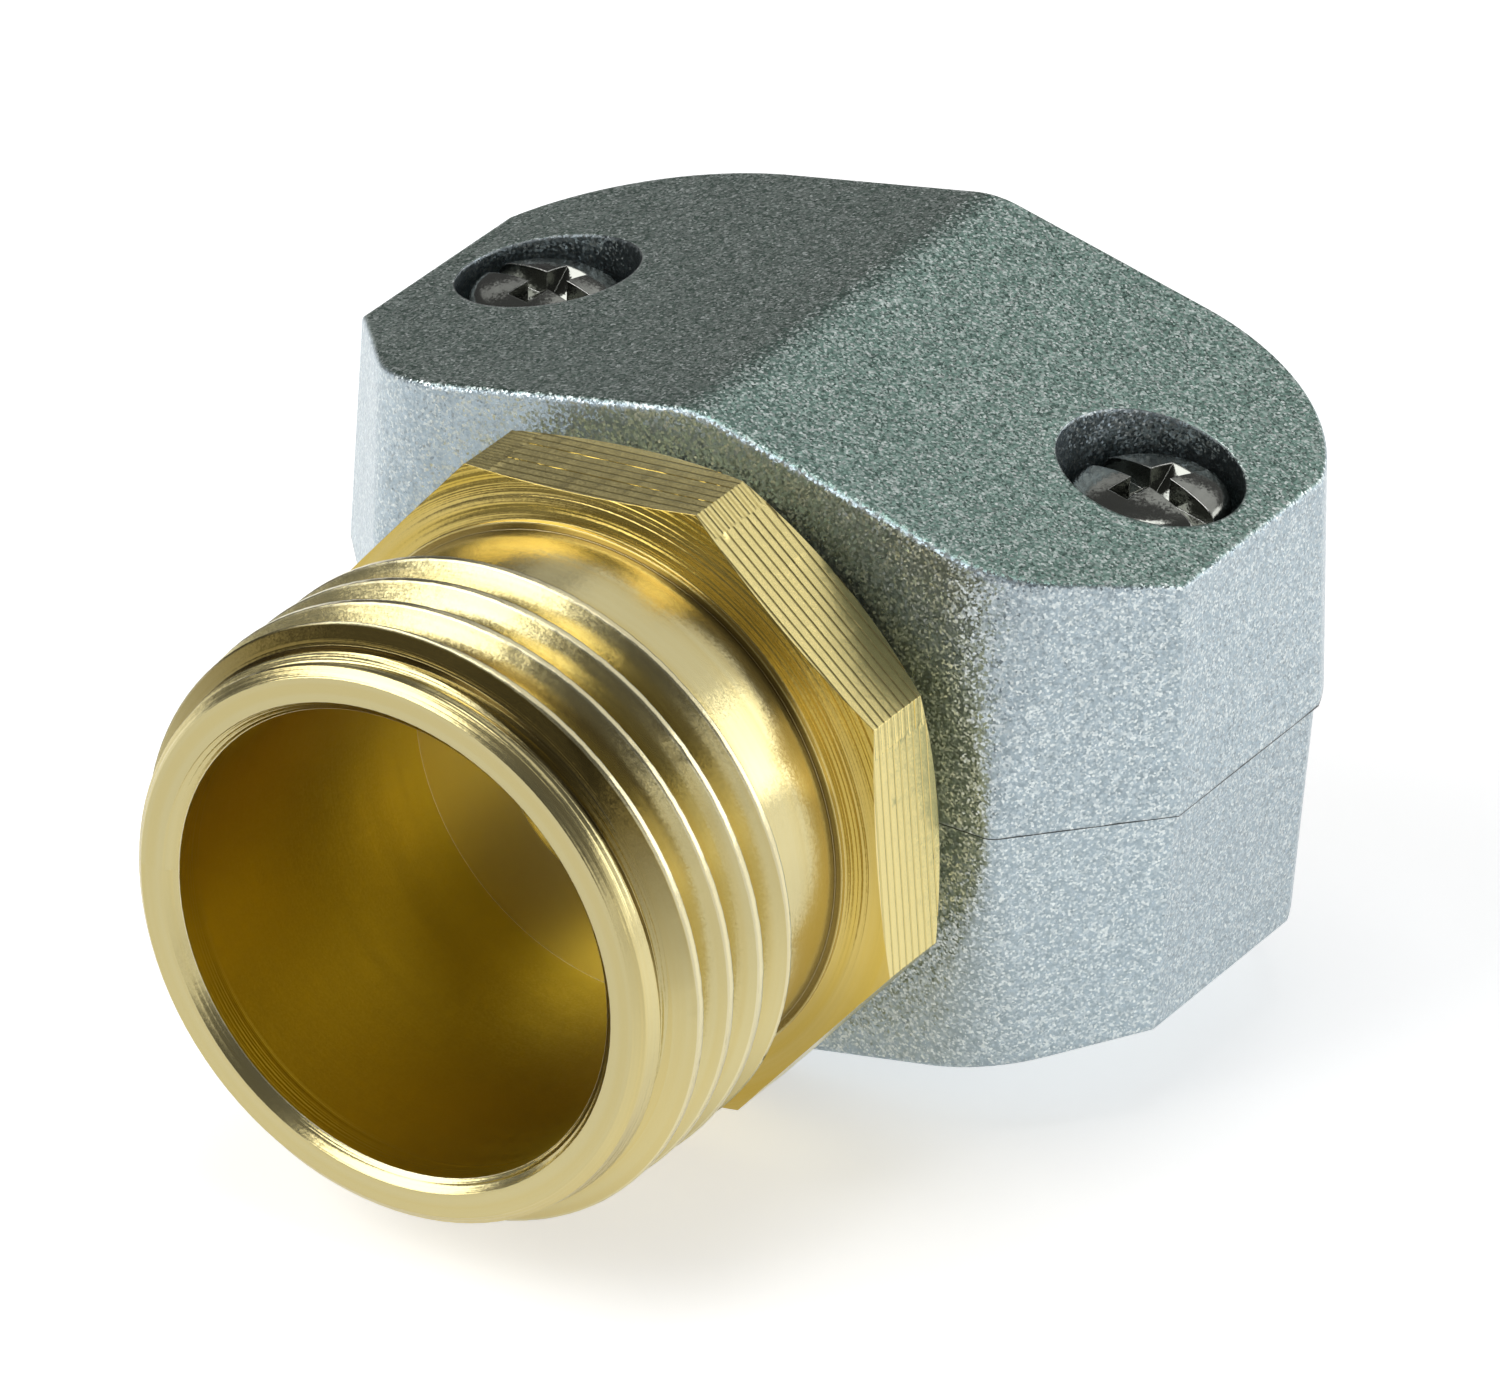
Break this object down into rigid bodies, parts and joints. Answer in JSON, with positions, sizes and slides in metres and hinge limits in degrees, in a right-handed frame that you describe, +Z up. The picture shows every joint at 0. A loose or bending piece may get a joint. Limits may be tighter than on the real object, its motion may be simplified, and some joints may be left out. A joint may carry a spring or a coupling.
{
  "type": "hose mender",
  "caption": "Male threaded hose end with an octagonal flange and a barbed stem, held in a two-piece cast clamp drawn together by screws.",
  "frame": {"origin": "on the coupling's axis, at the sealing face of its threaded nose", "axes": "+Y along the coupling from the nose to the barbed stem, +Z up through the upper clamp half, +X from the left screw to the right one"},
  "size_m": [0.0412, 0.0461, 0.0298],
  "materials": {
    "brass": "turned, bright on the thread and flange, satin at the sealing face and in the bore",
    "casting": "die cast, fine sparkling grain",
    "screw_steel": "bright plated"
  },
  "bodies": {
    "clamp_lower": {"clamp_lower": "casting"},
    "clamp_upper": {"clamp_upper": "casting"},
    "coupling": {"coupling": "brass"},
    "screw_left": {"screw_left": "screw_steel"},
    "screw_right": {"screw_right": "screw_steel"}
  },
  "joints": [
    {"name": "coupling_swivel", "type": "hinge", "parent": "clamp_lower", "child": "coupling", "pos_m": [0, 0, 0], "axis": [0, 1, 0], "continuous": true},
    {"name": "clamp_open", "type": "slide", "parent": "clamp_lower", "child": "clamp_upper", "axis": [0, 0, 1], "range_m": [0, 0.006]},
    {"name": "left_screw_turn", "type": "hinge", "parent": "clamp_upper", "child": "screw_left", "pos_m": [-0.0149, 0.03395, 0], "axis": [0, 0, 1], "range_deg": [0, 2721.26]},
    {"name": "right_screw_turn", "type": "hinge", "parent": "clamp_upper", "child": "screw_right", "pos_m": [0.0149, 0.03395, 0], "axis": [0, 0, 1], "range_deg": [0, 2721.26]}
  ],
  "couplings": [
    {"joint": "left_screw_turn", "follows": "clamp_open", "rad_per_m": 7915.8},
    {"joint": "right_screw_turn", "follows": "clamp_open", "rad_per_m": 7915.8}
  ]
}
